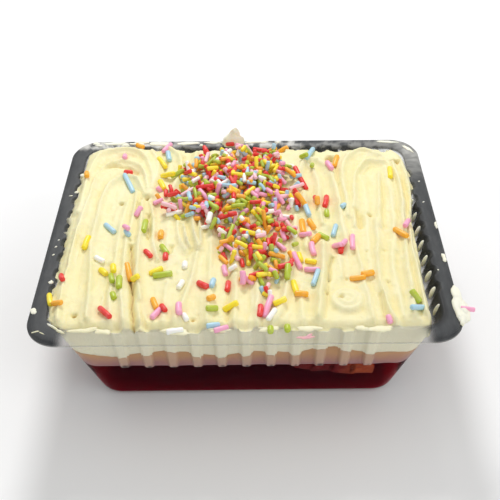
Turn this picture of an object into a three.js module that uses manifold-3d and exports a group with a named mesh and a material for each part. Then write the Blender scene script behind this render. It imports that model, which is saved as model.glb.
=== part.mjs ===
// A layered trifle in a clear, thin-walled tub with a wide flat flange and fluted walls:
// red jelly at the bottom, custard above it, and whipped cream spread in long ribbed strokes
// that turn round in loops at the back. Millimetres, +Z up, front towards -Y.
// The origin is the middle of the tub's flat underside.
import * as THREE from "three";
import { mergeVertices } from "three/addons/utils/BufferGeometryUtils.js";
import Module from "manifold-3d";

const wasm = await Module();
wasm.setup();

// ---- driving dimensions ----
const HEIGHT = 46.3; // underside of the base to the top of the flange
const FLANGE = { x: 72.5, y: 59.75, corner: 11.2 }; // half sizes of the flange's outline
const RIM = { x: 65.85, y: 53.1, corner: 7.4 }; // the opening, measured inside the wall
const BASE = { x: 54.25, y: 41.5, corner: 8.6 }; // the wall's inside, carried down to z = 0
const SHEET = 0.6; // thickness of the plastic
const BASE_EDGE = 2.9; // rounding between base and wall
const LIP = 1.3; // the flange's outer edge is turned down this far below the sheet
const GAP = 0.3; // between pieces that touch
const CORNER_STEPS = 4;

// Flutes: shallow pockets that stand out of the upper wall.
const FLUTE = {
  pitch: 8.5,
  frontCount: 11,
  sideCount: 9,
  depth: 1.4,
  foot: 2.7, // half widths at the wall and at full depth, at the rim
  crown: 1.9,
  narrowing: 1.4, // both are this much less where the wall meets the base
  bottom: 22.4, // where the pocket starts
  run: 2.4, // height over which it comes to full depth
};

// Filling levels.
const JELLY_TOP = 21.8;
const CUSTARD_TOP = 30.2; // mean level
const CUSTARD_WAVE = { x: 1.9, xPitch: 28, xPhase: 1, y: 0.9, yPitch: 23, yPhase: -6 };

// Cream surface.
const CREAM_GRID = 3.6;
const CREAM_VALLEY = HEIGHT + 0.6; // level between the strokes
const STROKE_RISE = 2.6; // how far a full stroke stands above that
const STROKE_WIDTH = 3.6; // half width of one rib of the spread cream
const EDGE_FALL = { width: 4.5, drop: 1.6 }; // rounding of the cream towards the wall
// It stops short of the right wall and of the back wall; each gap fades out over its last stretch.
const RIGHT_GAP = { start: 59.5, width: 5, drop: 7.5, front: 20, fade: 8 };
const BACK_GAP = { start: 45.5, width: 6, drop: 6, left: -26, fade: 6 };
const ROOM_ABOVE = 7.8; // the space the cream is trimmed to reaches this far above the rim
const MIDDLE_GAP = 0.6; // above the custard's middle, where its facets run across the wave
const BLOCK_MARGIN = 3; // the untrimmed cream is this much wider than the opening

// Loops at the back of the tub: an arch of one rib, with a leg down each side.
const LOOPS = [
  { x: -50.2, y: 34, rx: 14.3, ry: 16, left: -50, right: 15 },
  { x: -50.2, y: 30, rx: 9.8, ry: 11.5, left: -52, right: 16 },
  { x: -48.2, y: 22, rx: 6.2, ry: 9.5, left: -50, right: 16 },
  { x: -40, y: 32, rx: 14, ry: 17, left: 40, right: 20 },
  { x: 26.5, y: 32, rx: 9.6, ry: 12, left: -40, right: -4 },
  { x: 23.8, y: 29, rx: 4.8, ry: 9, left: 12, right: -10 },
  { x: 47.5, y: 36, rx: 9.2, ry: 13, left: -2, right: 0 },
  { x: 47.9, y: 30, rx: 5.9, ry: 9, left: 6, right: -12 },
];

// Straight strokes, each from its back end to its front end.
const RIBS = [
  { from: [-47, 8], to: [-48, -52] },
  { from: [-37.5, 12], to: [-34, -54] },
  { from: [-31, 8], to: [-28, -54] },
  { from: [-18.5, 4], to: [-22.5, -52] },
  { from: [-12, 34], to: [-13, -54] },
  { from: [-4, 40], to: [-5, -54] },
  { from: [4, 42], to: [3, -54] },
  { from: [11, 40], to: [9, -30] },
  { from: [28, -12], to: [24.5, -50] },
  { from: [36.5, -6], to: [37.5, -52] },
  { from: [49, 0], to: [46.5, -52] },
  { from: [58, -8], to: [55, -50] },
  { from: [61, 26], to: [59, -6] },
];

// Creases where one stroke was laid against the next.
const CREASES = [
  { from: [-41.5, -12], to: [-36.5, -54], depth: 2.4 },
  { from: [30.5, -20], to: [26.5, -50], depth: 1.6 },
  { from: [37, 42], to: [37, 8], depth: 1.2 },
];
const CREASE_WIDTH = 1.5;

// Lumps of cream left on the flange.
const SMEAR = { x: 71.4, y: -43.5, halfX: 2.9, halfY: 8.4, height: 2.6, lean: 0, taper: 0.15 };
const PEAK = { x: -5.2, y: 56, halfX: 3.9, halfY: 2.3, height: 8.2, lean: 1.6, taper: 0.55 };
const DENTS = { wide: 0.1, wideCount: 3, wideTurn: 1, small: 0.06, smallCount: 5 }; // round a lump
const LUMP_FACETS = { round: 16, up: 12 };

// ---- outlines ----
// An outline is a list of [x, y, station] points going round anticlockwise. The station runs from
// 0 to 4 over the four sides, so that rings with different numbers of points can be joined. A side
// takes the first half of its station and the corner after it a part of the second half.
const SIDE_STATIONS = 0.5;
const CORNER_STATIONS = { start: 0.6, span: 0.3 };

// One value that runs evenly from the base to the rim.
function between(atBase, atRim, z) {
  const share = Math.min(z / HEIGHT, 1);
  return atBase + (atRim - atBase) * share;
}

// One side's points as [distance along the side, distance outwards] pairs: four for each flute.
function flutedSide(count, z, grow) {
  const start = FLUTE.bottom + Math.max(-grow, 0);
  const share = THREE.MathUtils.clamp((z - start) / FLUTE.run, 0, 1);
  const slim = between(FLUTE.narrowing, 0, z);
  const foot = FLUTE.foot - slim + grow;
  const crown = FLUTE.crown - slim + grow;
  const points = [];
  for (let k = 0; k < count; k += 1) {
    const middle = (k - (count - 1) / 2) * FLUTE.pitch;
    points.push([middle - foot, 0], [middle - crown, FLUTE.depth * share]);
    points.push([middle + crown, FLUTE.depth * share], [middle + foot, 0]);
  }
  return points;
}

// A rectangle with round corners whose sides carry the points that side(count) gives.
function outline({ x, y, corner }, side) {
  const points = [];
  const sides = [
    { count: FLUTE.frontCount, half: x, out: y },
    { count: FLUTE.sideCount, half: y, out: x },
  ];
  for (let turn = 0; turn < 4; turn += 1) {
    const { count, half, out } = sides[turn % 2];
    const angle = (turn * Math.PI) / 2;
    const place = (s, n, station) => {
      points.push([
        Math.cos(angle) * s + Math.sin(angle) * n,
        Math.sin(angle) * s - Math.cos(angle) * n,
        turn + station,
      ]);
    };
    side(count).forEach(([s, n], k, all) => {
      place(s, out + n, (SIDE_STATIONS * (k + 1)) / all.length);
    });
    for (let k = 0; k <= CORNER_STEPS; k += 1) {
      const share = k / CORNER_STEPS;
      const [sine, cosine] = [Math.sin((share * Math.PI) / 2), Math.cos((share * Math.PI) / 2)];
      const station = CORNER_STATIONS.start + CORNER_STATIONS.span * share;
      place(half - corner + corner * sine, out - corner + corner * cosine, station);
    }
  }
  return points;
}

const enlarged = ({ x, y, corner }, by) => ({ x: x + by, y: y + by, corner: corner + by });

// The wall's inside at height z, pushed outwards by grow.
function wallSizes(z, grow) {
  return {
    x: between(BASE.x, RIM.x, z) + grow,
    y: between(BASE.y, RIM.y, z) + grow,
    corner: between(BASE.corner, RIM.corner, z) + grow,
  };
}

const wallPoints = (z, grow) =>
  outline(wallSizes(z, grow), (count) => flutedSide(count, z, grow));

// Outlines without flutes: one with only its corners, one with as many points as the wall's.
const cornerPoints = (sizes) => outline(sizes, () => []);
const evenPoints = (sizes) =>
  outline(sizes, (count) => flutedSide(count, 0, 0).map(([s]) => [s, 0]));

// ---- solids ----

// A ring is a list of [x, y, z, station] points.
const level = (points, z) => points.map(([x, y, station]) => [x, y, z, station]);

// Triangles between two rings, always advancing on the ring whose next station comes first, and
// on the shorter diagonal where both come together.
function joinRings(lower, upper, lowerStart, upperStart, index) {
  const at = (ring, k) => ring[k % ring.length];
  const station = (ring, k) => at(ring, k)[3] + 4 * Math.floor(k / ring.length);
  const span = (p, q) => Math.hypot(p[0] - q[0], p[1] - q[1], p[2] - q[2]);
  let [i, j] = [0, 0];
  while (i < lower.length || j < upper.length) {
    const ahead = station(lower, i + 1) - station(upper, j + 1);
    const tie = Math.abs(ahead) < 1e-9;
    const onLower = span(at(lower, i + 1), at(upper, j));
    const onUpper = span(at(lower, i), at(upper, j + 1));
    const stepLower = j === upper.length || (tie ? onLower <= onUpper : ahead < 0);
    const a = lowerStart + (i % lower.length);
    const b = upperStart + (j % upper.length);
    if (stepLower && i < lower.length) {
      i += 1;
      index.push(a, lowerStart + (i % lower.length), b);
    } else {
      j += 1;
      index.push(a, upperStart + (j % upper.length), b);
    }
  }
}

// A closed skin through a row of rings, with a fan to the middle at each end.
function skin(rings) {
  const positions = [];
  const starts = [];
  const index = [];
  for (const ring of rings) {
    starts.push(positions.length / 3);
    for (const [x, y, z] of ring) positions.push(x, y, z);
  }
  for (let r = 0; r + 1 < rings.length; r += 1) {
    joinRings(rings[r], rings[r + 1], starts[r], starts[r + 1], index);
  }
  for (const [r, turned] of [
    [0, true],
    [rings.length - 1, false],
  ]) {
    const ring = rings[r];
    const middle = positions.length / 3;
    const mean = (k) => ring.reduce((sum, point) => sum + point[k], 0) / ring.length;
    positions.push(mean(0), mean(1), mean(2));
    ring.forEach((_, i) => {
      const pair = [starts[r] + i, starts[r] + ((i + 1) % ring.length)];
      if (turned) pair.reverse();
      index.push(middle, ...pair);
    });
  }
  const geometry = new THREE.BufferGeometry();
  geometry.setAttribute("position", new THREE.Float32BufferAttribute(positions, 3));
  geometry.setIndex(index);
  return geometry;
}

function toSolid(geometry) {
  const bare = geometry.clone();
  for (const name of Object.keys(bare.attributes)) {
    if (name !== "position") bare.deleteAttribute(name);
  }
  const merged = mergeVertices(bare, 1e-3);
  return new wasm.Manifold(
    new wasm.Mesh({
      numProp: 3,
      vertProperties: merged.attributes.position.array,
      triVerts: new Uint32Array(merged.index.array),
    }),
  );
}

function toGeometry(solid) {
  const mesh = solid.getMesh();
  const geometry = new THREE.BufferGeometry();
  geometry.setAttribute("position", new THREE.BufferAttribute(mesh.vertProperties, 3));
  geometry.setIndex(new THREE.BufferAttribute(mesh.triVerts, 1));
  return geometry;
}

// ---- the tub ----

function tub() {
  const fluteTop = FLUTE.bottom + FLUTE.run;
  const under = HEIGHT - SHEET;
  const lipInside = enlarged(FLANGE, -SHEET);
  return skin([
    level(cornerPoints(wallSizes(0, SHEET - BASE_EDGE)), 0),
    level(cornerPoints(wallSizes(BASE_EDGE, SHEET)), BASE_EDGE),
    level(wallPoints(FLUTE.bottom, SHEET), FLUTE.bottom),
    level(wallPoints(fluteTop, SHEET), fluteTop),
    level(wallPoints(under, SHEET), under),
    level(evenPoints(lipInside), under),
    level(cornerPoints(lipInside), under - LIP),
    level(cornerPoints(FLANGE), under - LIP),
    level(evenPoints(FLANGE), HEIGHT),
    level(wallPoints(HEIGHT, 0), HEIGHT),
    level(wallPoints(fluteTop, 0), fluteTop),
    level(wallPoints(FLUTE.bottom, 0), FLUTE.bottom),
    level(cornerPoints(wallSizes(BASE_EDGE, 0)), BASE_EDGE),
    level(cornerPoints(wallSizes(SHEET, SHEET - BASE_EDGE)), SHEET),
  ]);
}

// ---- the fillings ----

function custardLevel(x, y) {
  const w = CUSTARD_WAVE;
  const alongX = w.x * Math.cos((2 * Math.PI * (x - w.xPhase)) / w.xPitch);
  const alongY = w.y * Math.cos((2 * Math.PI * (y - w.yPhase)) / w.yPitch);
  return CUSTARD_TOP + alongX + alongY;
}

// The ring inside the wall whose every point lies on the custard's wavy surface.
function custardRim(lift) {
  return wallPoints(CUSTARD_TOP, -GAP).map(([x, y, station], i) => {
    const z = custardLevel(x, y) + lift;
    const [wallX, wallY] = wallPoints(z, -GAP)[i];
    return [wallX, wallY, z, station];
  });
}

// A ring on the same surface further in, clear of the flutes.
function custardMiddle(lift) {
  return evenPoints(BASE).map(([x, y, station]) => [x, y, custardLevel(x, y) + lift, station]);
}

function jelly() {
  const floor = SHEET + GAP;
  const edge = BASE_EDGE + GAP;
  return skin([
    level(cornerPoints(wallSizes(floor, SHEET - BASE_EDGE - GAP)), floor),
    level(cornerPoints(wallSizes(edge, -GAP)), edge),
    level(cornerPoints(wallSizes(JELLY_TOP, -GAP)), JELLY_TOP),
  ]);
}

function custard() {
  const bottom = JELLY_TOP + GAP;
  const fluteStart = FLUTE.bottom + GAP;
  return skin([
    level(cornerPoints(wallSizes(bottom, -GAP)), bottom),
    level(wallPoints(fluteStart, -GAP), fluteStart),
    level(wallPoints(fluteStart + FLUTE.run, -GAP), fluteStart + FLUTE.run),
    custardRim(0),
    custardMiddle(0),
  ]);
}

// ---- the cream ----

// Distance from a point to the straight stretch between two others.
function toLine(x, y, [ax, ay], [bx, by]) {
  const [dx, dy] = [bx - ax, by - ay];
  const share = THREE.MathUtils.clamp(
    ((x - ax) * dx + (y - ay) * dy) / (dx * dx + dy * dy),
    0,
    1,
  );
  return Math.hypot(x - ax - dx * share, y - ay - dy * share);
}

// Distance from a point to a loop: half an ellipse with two straight legs.
function toLoop(x, y, loop) {
  const side = x < loop.x ? -1 : 1;
  const foot = side < 0 ? loop.left : loop.right;
  if (y <= loop.y) {
    return toLine(x, y, [loop.x + side * loop.rx, loop.y], [loop.x + side * loop.rx, foot]);
  }
  const across = Math.hypot((x - loop.x) / loop.rx, (y - loop.y) / loop.ry);
  return Math.abs(across - 1) * Math.min(loop.rx, loop.ry);
}

// The rounded cross-section of a stroke at this distance from its crest.
function strokeHeight(distance) {
  const share = Math.min(distance / STROKE_WIDTH, 1);
  return STROKE_RISE * Math.cos((share * Math.PI) / 2);
}

// A smooth step from 0 to 1.
const ease = (value, start, width) =>
  THREE.MathUtils.smoothstep(value, start, start + width);

function creamLevel(x, y) {
  let rise = 0;
  for (const loop of LOOPS) rise = Math.max(rise, strokeHeight(toLoop(x, y, loop)));
  for (const { from, to } of RIBS) rise = Math.max(rise, strokeHeight(toLine(x, y, from, to)));
  for (const { from, to, depth } of CREASES) {
    const near = Math.min(toLine(x, y, from, to) / CREASE_WIDTH, 1);
    rise -= depth * (1 - near) * (1 - near);
  }
  const inside = Math.min(RIM.x - Math.abs(x), RIM.y - Math.abs(y));
  const fall = 1 - THREE.MathUtils.clamp(inside / EDGE_FALL.width, 0, 1);
  const right =
    ease(x, RIGHT_GAP.start, RIGHT_GAP.width) * ease(-y, -RIGHT_GAP.front, RIGHT_GAP.fade);
  const back = ease(y, BACK_GAP.start, BACK_GAP.width) * ease(x, BACK_GAP.left, BACK_GAP.fade);
  return (
    CREAM_VALLEY + rise - EDGE_FALL.drop * fall * fall - RIGHT_GAP.drop * right - BACK_GAP.drop * back
  );
}

// A block over the whole opening whose top is the cream's surface.
function creamBlock() {
  const [halfX, halfY] = [RIM.x + BLOCK_MARGIN, RIM.y + BLOCK_MARGIN];
  const [columns, rows] = [halfX, halfY].map((half) => Math.ceil((2 * half) / CREAM_GRID));
  const positions = [];
  const index = [];
  const topOf = (i, j) => 2 * (j * (columns + 1) + i);
  for (let j = 0; j <= rows; j += 1) {
    for (let i = 0; i <= columns; i += 1) {
      const x = -halfX + (2 * halfX * i) / columns;
      const y = -halfY + (2 * halfY * j) / rows;
      positions.push(x, y, creamLevel(x, y), x, y, JELLY_TOP);
    }
  }
  for (let j = 0; j < rows; j += 1) {
    for (let i = 0; i < columns; i += 1) {
      const [a, b, c, d] = [topOf(i, j), topOf(i + 1, j), topOf(i + 1, j + 1), topOf(i, j + 1)];
      index.push(a, b, c, a, c, d);
      index.push(a + 1, c + 1, b + 1, a + 1, d + 1, c + 1);
    }
  }
  const wall = (a, b) => index.push(a, a + 1, b + 1, a, b + 1, b);
  for (let i = 0; i < columns; i += 1) {
    wall(topOf(i, 0), topOf(i + 1, 0));
    wall(topOf(i + 1, rows), topOf(i, rows));
  }
  for (let j = 0; j < rows; j += 1) {
    wall(topOf(columns, j), topOf(columns, j + 1));
    wall(topOf(0, j + 1), topOf(0, j));
  }
  const geometry = new THREE.BufferGeometry();
  geometry.setAttribute("position", new THREE.Float32BufferAttribute(positions, 3));
  geometry.setIndex(index);
  return geometry;
}

// Everything between the custard and well above the rim, inside the wall.
function creamRoom() {
  const above = HEIGHT + ROOM_ABOVE;
  return skin([
    custardMiddle(MIDDLE_GAP),
    custardRim(GAP),
    level(wallPoints(HEIGHT, -GAP), HEIGHT),
    level(wallPoints(HEIGHT, -GAP), above),
    level(evenPoints(BASE), above),
  ]);
}

function cream() {
  return toGeometry(toSolid(creamRoom()).intersect(toSolid(creamBlock())));
}

// ---- cream on the flange ----

// A lump with a flat underside: a ball squashed flat below, with shallow dents round it and its
// top pulled in and leaning over.
function lump({ halfX, halfY, height, lean, taper }) {
  const ball = new THREE.SphereGeometry(1, LUMP_FACETS.round, LUMP_FACETS.up);
  ball.rotateX(Math.PI / 2);
  const place = ball.attributes.position;
  for (let i = 0; i < place.count; i += 1) {
    const [x, y, z] = [place.getX(i), place.getY(i), Math.max(place.getZ(i), 0)];
    const angle = Math.atan2(y, x);
    const dents =
      DENTS.wide * Math.sin(DENTS.wideCount * angle + DENTS.wideTurn) +
      DENTS.small * Math.sin(DENTS.smallCount * angle);
    const wide = (1 + dents) * (1 - taper * z);
    place.setXYZ(i, x * wide * halfX + lean * z * z, y * wide * halfY, z * height);
  }
  return toGeometry(toSolid(ball));
}

// ---- the assembled trifle ----

const LOOK = {
  plastic: { color: 0xdfe4e6, roughness: 0.12, metalness: 0, transparent: true, opacity: 0.3 },
  jelly: { color: 0x5a0a18, roughness: 0.15, metalness: 0 },
  custard: { color: 0xe0b878, roughness: 0.45, metalness: 0 },
  cream: { color: 0xfaf0c8, roughness: 0.5, metalness: 0 },
};

const trifle = new THREE.Group();

function add(name, geometry, look, position = [0, 0, 0]) {
  const mesh = new THREE.Mesh(geometry, new THREE.MeshStandardMaterial(look));
  mesh.name = name;
  mesh.position.set(...position);
  trifle.add(mesh);
}

add("tub", tub(), LOOK.plastic);
add("jelly", jelly(), LOOK.jelly);
add("custard", custard(), LOOK.custard);
add("cream", cream(), LOOK.cream);
add("cream_smear", lump(SMEAR), LOOK.cream, [SMEAR.x, SMEAR.y, HEIGHT + GAP]);
add("cream_peak", lump(PEAK), LOOK.cream, [PEAK.x, PEAK.y, HEIGHT + GAP]);

export default trifle;
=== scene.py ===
"""A layered trifle in a clear fluted tub: red jelly, custard, and whipped cream spread in ribbed
strokes, with sugar strands on top. Lengths in this script are millimetres in the frame of the
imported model, and make_piece turns them into metres."""

import math

import bpy
import numpy as np
from mathutils import Matrix, Vector


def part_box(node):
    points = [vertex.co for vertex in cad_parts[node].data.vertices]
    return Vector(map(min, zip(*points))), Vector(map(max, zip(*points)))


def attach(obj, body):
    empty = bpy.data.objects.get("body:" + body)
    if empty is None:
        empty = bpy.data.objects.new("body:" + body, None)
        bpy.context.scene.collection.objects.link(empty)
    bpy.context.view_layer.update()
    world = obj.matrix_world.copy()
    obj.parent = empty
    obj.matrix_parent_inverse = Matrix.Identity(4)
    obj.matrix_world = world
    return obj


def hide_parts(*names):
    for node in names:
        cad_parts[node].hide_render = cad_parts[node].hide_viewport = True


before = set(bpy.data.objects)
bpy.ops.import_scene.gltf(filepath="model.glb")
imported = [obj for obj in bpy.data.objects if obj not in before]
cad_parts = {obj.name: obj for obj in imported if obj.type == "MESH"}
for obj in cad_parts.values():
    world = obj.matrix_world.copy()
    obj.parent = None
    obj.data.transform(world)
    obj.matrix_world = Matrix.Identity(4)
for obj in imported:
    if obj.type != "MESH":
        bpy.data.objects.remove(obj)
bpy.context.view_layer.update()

MM = 0.001
random = np.random.default_rng(7)


def box_of(node):
    """A node's lowest and highest corners in millimetres."""
    low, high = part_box(node)
    return np.array(low) / MM, np.array(high) / MM


# ---------------- sizes
TUB_HIGH = box_of("tub")[1]
HEIGHT = TUB_HIGH[2]  # top of the flange
JELLY_TOP = box_of("jelly")[1][2]
SHEET = 0.6  # thickness of the plastic
SINK = 0.3  # how far a filling reaches into the wall
FLANGE = (TUB_HIGH[0], TUB_HIGH[1], 11.2)  # half width, half depth, corner radius
RIM = (65.85, 53.1, 7.4)  # the opening, inside the wall
BASE = (54.25, 41.5, 8.6)  # the wall's inside, carried down to the table
BASE_EDGE = 2.9  # rounding between base and wall
RIM_BEND = 1.6  # the wall bends into the flange from this far under its top
FLANGE_EDGE = 1.1  # rounding of the flange's outer edge
LIP = 1.3  # the flange's edge is turned down this far
FLUTES = (11, 9)  # on the front and back, and on each side
PITCH = 8.5
FLUTE_DEPTH = 1.4
FLUTE_HALF = (1.3, 2.7)  # half width of a flute at the table and at the rim
FLUTE_BOTTOM = 20.3
FLUTE_END = 2.2  # height of a flute's rounded lower end
CUSTARD_MEAN = 30.2

DRAFT = (RIM[0] - BASE[0]) / HEIGHT  # how far the wall leans out for each millimetre up
CREAM_BASE = HEIGHT + 0.3  # level between the strokes
STRAND_RADIUS = 0.9


# ---------------- helpers
def step(value, low, high):
    """A smooth step from 0 at low to 1 at high."""
    share = np.clip((value - low) / (high - low), 0, 1)
    return share * share * (3 - 2 * share)


def quarter(count):
    """Angles over a quarter turn, with both ends."""
    return np.linspace(0, math.pi / 2, count)


def noise(x, y, seed=0):
    """Smooth noise between -1 and 1 with a cell of one unit."""
    cell_x, cell_y = np.floor(x), np.floor(y)

    def corner(dx, dy):
        value = np.sin((cell_x + dx) * 127.1 + (cell_y + dy) * 311.7 + seed * 74.7) * 43758.5453
        return value - np.floor(value)

    blend_x, blend_y = step(x - cell_x, 0, 1), step(y - cell_y, 0, 1)
    front = corner(0, 0) + (corner(1, 0) - corner(0, 0)) * blend_x
    back = corner(0, 1) + (corner(1, 1) - corner(0, 1)) * blend_x
    return 2 * (front + (back - front) * blend_y) - 1


def smooth_line(points, pieces=6):
    """A smooth curve through points given as x, y, x, y and so on, as short straight pieces."""
    points = np.reshape(points, (-1, 2)).astype(float)
    ends = [2 * points[0] - points[1], *points, 2 * points[-1] - points[-2]]
    out = []
    for a, b, c, d in zip(ends, ends[1:], ends[2:], ends[3:]):
        for t in np.arange(pieces) / pieces:
            flat = 2 * b + (c - a) * t + (2 * a - 5 * b + 4 * c - d) * t**2
            out.append(0.5 * flat + 0.5 * (3 * b - a - 3 * c + d) * t**3)
    out.append(points[-1])
    return np.array(out)


def line_distance(x, y, line):
    """Distance to a line, the same with the side as its sign, and how far along it is."""
    best = np.full(x.shape, np.inf)
    across = np.zeros(x.shape)
    along = np.zeros(x.shape)
    run = 0.0
    for (ax, ay), (bx, by) in zip(line, line[1:]):
        dx, dy = bx - ax, by - ay
        length = math.hypot(dx, dy)
        share = np.clip(((x - ax) * dx + (y - ay) * dy) / length**2, 0, 1)
        off_x, off_y = x - ax - dx * share, y - ay - dy * share
        distance = np.hypot(off_x, off_y)
        nearer = distance < best
        best = np.where(nearer, distance, best)
        side = np.sign(off_x * dy - off_y * dx)
        across = np.where(nearer, distance * side, across)
        along = np.where(nearer, run + share * length, along)
        run += length
    return best, across, along


def make_piece(name, skin, material, node=None, colours=None):
    """A mesh from points in millimetres and faces, riding on the part's one body."""
    points, faces = skin
    mesh = bpy.data.meshes.new(name)
    mesh.from_pydata(np.asarray(points, float) * MM, [], [list(f) for f in faces])
    mesh.update()
    mesh.shade_smooth()
    mesh.materials.append(material)
    for key, values in (colours or {}).items():
        layer = mesh.attributes.new(key, "FLOAT", "POINT")
        layer.data.foreach_set("value", np.asarray(values, np.float32))
    piece = bpy.data.objects.new(name, mesh)
    bpy.context.collection.objects.link(piece)
    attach(piece, "root")
    if node:
        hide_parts(node)


def loft(rings):
    """Points and faces of a skin through rings of equal length, with a fan at each end."""
    count = len(rings[0])
    i = np.arange(count)
    j = (i + 1) % count
    faces = []
    for a in range(0, (len(rings) - 1) * count, count):
        faces += np.stack([a + i, a + j, a + count + j, a + count + i], 1).tolist()
    first = len(rings) * count
    end = first - count
    faces += [(first, q, p) for p, q in zip(i.tolist(), j.tolist())]
    faces += [(first + 1, end + p, end + q) for p, q in zip(i.tolist(), j.tolist())]
    return np.concatenate([*rings, [rings[0].mean(0)], [rings[-1].mean(0)]]), faces


def joined(skins):
    """Points and faces of several skins as one mesh."""
    points, faces, start = [], [], 0
    for made, skin in skins:
        points.append(made)
        faces += [[p + start for p in face] for face in skin]
        start += len(made)
    return np.concatenate(points), faces


# ---------------- outlines
def between(at_base, at_rim, z):
    return at_base + (at_rim - at_base) * np.clip(z / HEIGHT, 0, 1)


def flute_bulge(s, z):
    """How far a flute stands out at distance s along the side."""
    off = np.abs(s - PITCH * np.round(s / PITCH))
    rise = np.clip((z - FLUTE_BOTTOM) / FLUTE_END, 0, 1)
    width = between(*FLUTE_HALF, z) * np.sqrt(1 - (1 - rise) ** 2) + 1e-6
    return FLUTE_DEPTH * step(rise, 0, 1) * (1 - step(off / width, 0.55, 1.05))


def outline(sizes, spacing, z=None, flutes=1.0):
    """A rounded rectangle going round anticlockwise from the front, fluted where z is given."""
    half_x, half_y, corner = sizes
    corner_count = int(12 / spacing) + 2
    out = []
    for turn in range(4):
        half, away = (half_x, half_y) if turn % 2 == 0 else (half_y, half_x)
        run = FLUTES[turn % 2] * PITCH
        fluted = min(run / 2, 0.985 * (half - corner))
        middle = np.linspace(-fluted, fluted, int(run / spacing))
        ends = fluted + (half - corner - fluted) * np.linspace(0, 1, corner_count)[1:]
        s = np.concatenate([-ends[::-1], middle, ends])
        n = np.full(s.shape, away)
        if z is not None:
            n = n + np.where(np.abs(s) <= fluted, flute_bulge(s, z) * flutes, 0)
        swing = quarter(corner_count + 1)[1:-1]
        s = np.concatenate([s, half - corner + corner * np.sin(swing)])
        n = np.concatenate([n, away - corner + corner * np.cos(swing)])
        cos, sin = math.cos(turn * math.pi / 2), math.sin(turn * math.pi / 2)
        out.append(np.column_stack([cos * s + sin * n, sin * s - cos * n]))
    return np.concatenate(out)


def wall_outline(z, grow, spacing, flutes=1.0):
    sizes = [between(b, r, z) + grow for b, r in zip(BASE, RIM)]
    return outline(sizes, spacing, z, flutes)


def raised(points, z):
    """Adds a height, one number or one for each point, to a list of x and y."""
    return np.column_stack([points, np.broadcast_to(z, len(points))])


def wall_ring(heights, grow, spacing):
    """A ring on the wall whose height differs from point to point."""
    levels = np.linspace(heights.min(), heights.max() + 1e-6, 24)
    rings = np.array([wall_outline(z, grow, spacing) for z in levels])
    place = (heights - levels[0]) / (levels[1] - levels[0])
    low = np.clip(np.floor(place).astype(int), 0, len(levels) - 2)
    share = (place - low)[:, None]
    index = np.arange(len(heights))
    flat = rings[low, index] * (1 - share) + rings[low + 1, index] * share
    return raised(flat, heights)


# ---------------- materials
class Material:
    """A procedural material. Its methods add nodes and return the socket to go on from."""

    def __init__(self, name, values):
        self.data = bpy.data.materials.new(name)
        self.data.use_nodes = True
        self.nodes = self.data.node_tree.nodes
        self.nodes.clear()
        self.output = self.node("OutputMaterial")
        self.shader = self.node("BsdfPrincipled", values)
        self.link(self.shader.outputs[0], self.output.inputs["Surface"])

    def node(self, kind, values=(), **settings):
        made = self.nodes.new("ShaderNode" + kind)
        for key, value in settings.items():
            setattr(made, key, value)
        for key, value in dict(values).items():
            made.inputs[key].default_value = value
        return made

    def link(self, source, target):
        self.data.node_tree.links.new(source, target)

    def drive(self, name, source):
        """Lets a socket drive one of the shader's values."""
        self.link(source, self.shader.inputs[name])

    def fed(self, kind, source, values=(), **settings):
        """The first output of a node whose first input is a source."""
        made = self.node(kind, values, **settings)
        self.link(source, made.inputs[0])
        return made.outputs[0]

    def axis(self, name):
        """A point's X, Y or Z in metres."""
        split = self.node("SeparateXYZ")
        self.link(self.node("TexCoord").outputs["Object"], split.inputs[0])
        return split.outputs[name]

    def noise(self, scale, detail=3.0, roughness=0.5, stretch=None):
        """Noise over the object's own metres; scale is in cells per metre."""
        source = self.node("TexCoord").outputs["Object"]
        if stretch:
            source = self.fed("Mapping", source, {"Scale": stretch})
        values = {"Scale": scale, "Detail": detail, "Roughness": roughness}
        return self.fed("TexNoise", source, values)

    def ramp(self, source, *stops):
        made = self.node("ValToRGB")
        for element, (place, colour) in zip(made.color_ramp.elements, stops):
            element.position = place
            element.color = (*colour, 1)
        self.link(source, made.inputs[0])
        return made.outputs[0]

    def mix(self, share, first, second):
        """A colour between two, each a colour or a socket."""
        made = self.node("Mix", data_type="RGBA")
        for socket, value in zip(made.inputs[6:8], (first, second)):
            if isinstance(value, tuple):
                socket.default_value = (*value, 1)
            else:
                self.link(value, socket)
        self.link(share, made.inputs[0])
        return made.outputs[2]

    def layered(self, share, below, above):
        made = self.node("MixShader")
        for socket, source in zip(made.inputs, (share, below, above)):
            self.link(source, socket)
        return made.outputs[0]

    def attribute(self, name):
        return self.node("Attribute", attribute_name=name).outputs["Fac"]

    def scaled(self, source, low, high, to_low=0.0, to_high=1.0):
        values = {"From Min": low, "From Max": high, "To Min": to_low, "To Max": to_high}
        return self.fed("MapRange", source, values)

    def summed(self, source, weight, other):
        """One socket times a weight, plus another."""
        made = self.node("Math", {1: weight}, operation="MULTIPLY_ADD")
        self.link(source, made.inputs[0])
        self.link(other, made.inputs[2])
        return made.outputs[0]

    def bump(self, source, strength, distance):
        made = self.node("Bump", {"Strength": strength, "Distance": distance})
        self.link(source, made.inputs["Height"])
        self.drive("Normal", made.outputs[0])


CREAM = (0.865, 0.80, 0.455)
CREAM_PALE = (0.87, 0.81, 0.52)
# Painted shade: tan in the cream's grooves.
CREAM_GROOVE_SHADE = (0.86, 0.755, 0.385)
CREAM_WHITE = (0.93, 0.92, 0.80)
# Painted shade: brown in the deepest creases and holes.
CREAM_DEEP_SHADE = (0.58, 0.36, 0.10)
# Painted shade: the cream's sides against the wall, darker and greyer than its top.
CREAM_SIDE_SHADE = (0.79, 0.75, 0.58)
CREAM_PINK = (0.80, 0.42, 0.45)
STAINS = {"red": (0.80, 0.30, 0.20), "orange": (0.93, 0.58, 0.22)}


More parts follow.
